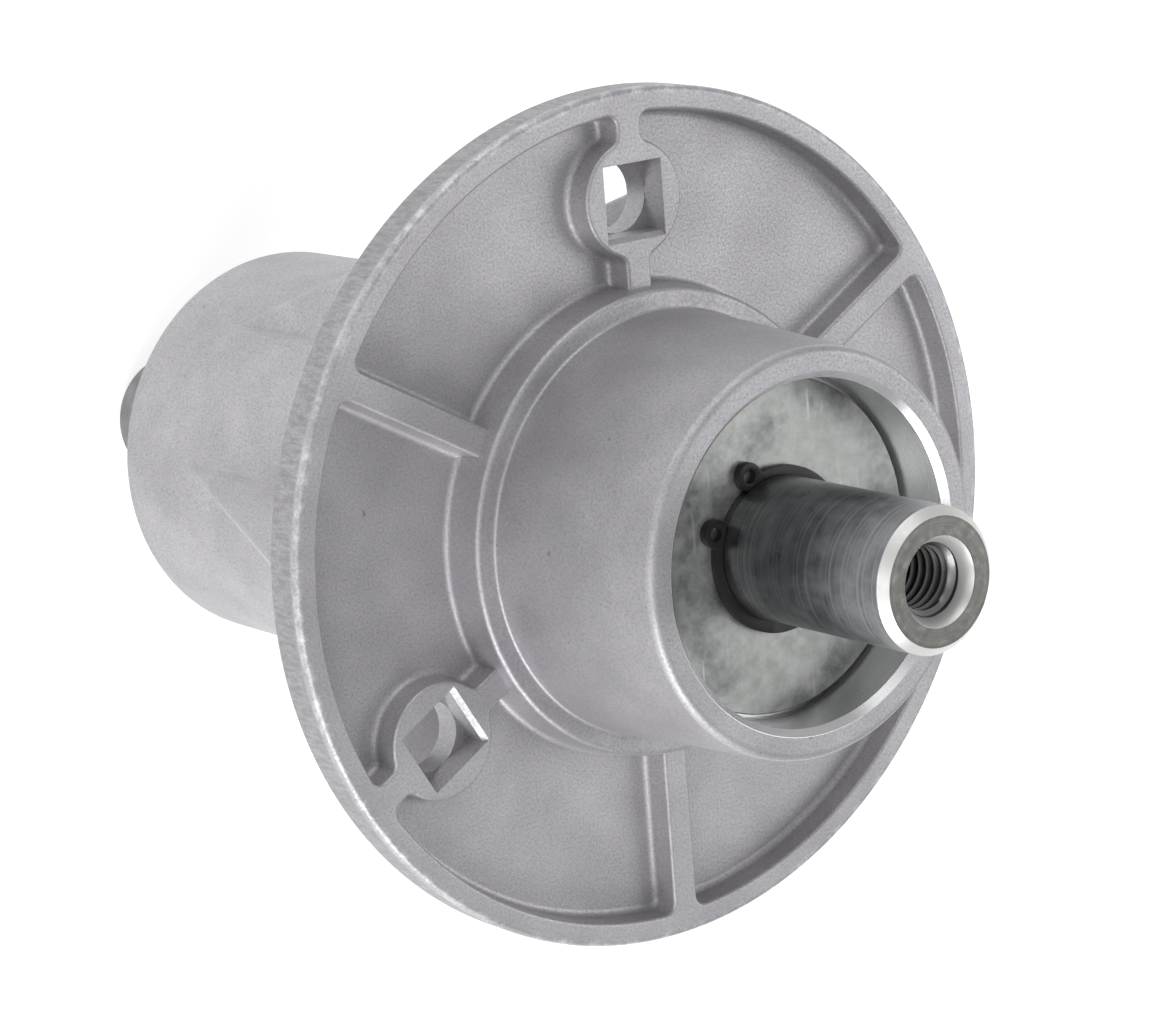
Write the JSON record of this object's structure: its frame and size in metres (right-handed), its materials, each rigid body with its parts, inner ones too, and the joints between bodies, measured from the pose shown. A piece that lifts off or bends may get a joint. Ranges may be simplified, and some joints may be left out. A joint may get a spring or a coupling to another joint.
{
  "type": "mower blade spindle",
  "caption": "Mower blade spindle: a ribbed cast housing with a bolt flange, and a steel shaft that turns in sealed ball bearings inside it.",
  "frame": {"origin": "on the spindle's axis, in the plane of the flange's ribbed face, which bolts against the mower deck", "axes": "+Z along the spindle's axis, out of the short hub end; +Y through one of the three bolt bosses"},
  "size_m": [0.1228, 0.1228, 0.1892],
  "materials": {
    "housing_casting": "die cast, bead blasted, satin",
    "shaft_steel": "turned, dark oiled grey, brighter at the ends",
    "sleeve_steel": "drawn tube, plain",
    "zinc_plate": "dull zinc plate with a slight olive cast",
    "black_spring_steel": "black phosphated spring steel, matte",
    "bearing_steel": "ground, bright",
    "ball_steel": "polished",
    "cage_steel": "pressed sheet, plain",
    "seal_rubber": "moulded, matte"
  },
  "bodies": {
    "housing": {"housing": "housing_casting", "front_outer_ring": "bearing_steel", "front_upper_seal": "seal_rubber", "front_lower_seal": "seal_rubber", "rear_outer_ring": "bearing_steel", "rear_upper_seal": "seal_rubber", "rear_lower_seal": "seal_rubber"},
    "shaft": {"shaft": "shaft_steel", "spacer_sleeve": "sleeve_steel", "front_inner_ring": "bearing_steel", "front_dust_shield": "zinc_plate", "front_circlip": "black_spring_steel", "rear_inner_ring": "bearing_steel", "rear_dust_shield": "zinc_plate", "rear_circlip": "black_spring_steel"},
    "front_cage": {"front_balls": "ball_steel", "front_cage_upper_half": "cage_steel", "front_cage_lower_half": "cage_steel", "front_cage_rivets": "cage_steel"},
    "rear_cage": {"rear_balls": "ball_steel", "rear_cage_upper_half": "cage_steel", "rear_cage_lower_half": "cage_steel", "rear_cage_rivets": "cage_steel"}
  },
  "joints": [
    {"name": "shaft_spin", "type": "hinge", "parent": "housing", "child": "shaft", "pos_m": [0, 0, 0], "axis": [0, 0, 1], "continuous": true},
    {"name": "front_cage_turn", "type": "hinge", "parent": "housing", "child": "front_cage", "pos_m": [0, 0, 0.0164], "axis": [0, 0, 1], "continuous": true},
    {"name": "rear_cage_turn", "type": "hinge", "parent": "housing", "child": "rear_cage", "pos_m": [0, 0, -0.0769], "axis": [0, 0, 1], "continuous": true}
  ],
  "couplings": [
    {"joint": "front_cage_turn", "follows": "shaft_spin", "ratio": 0.38152},
    {"joint": "rear_cage_turn", "follows": "shaft_spin", "ratio": 0.38152}
  ]
}
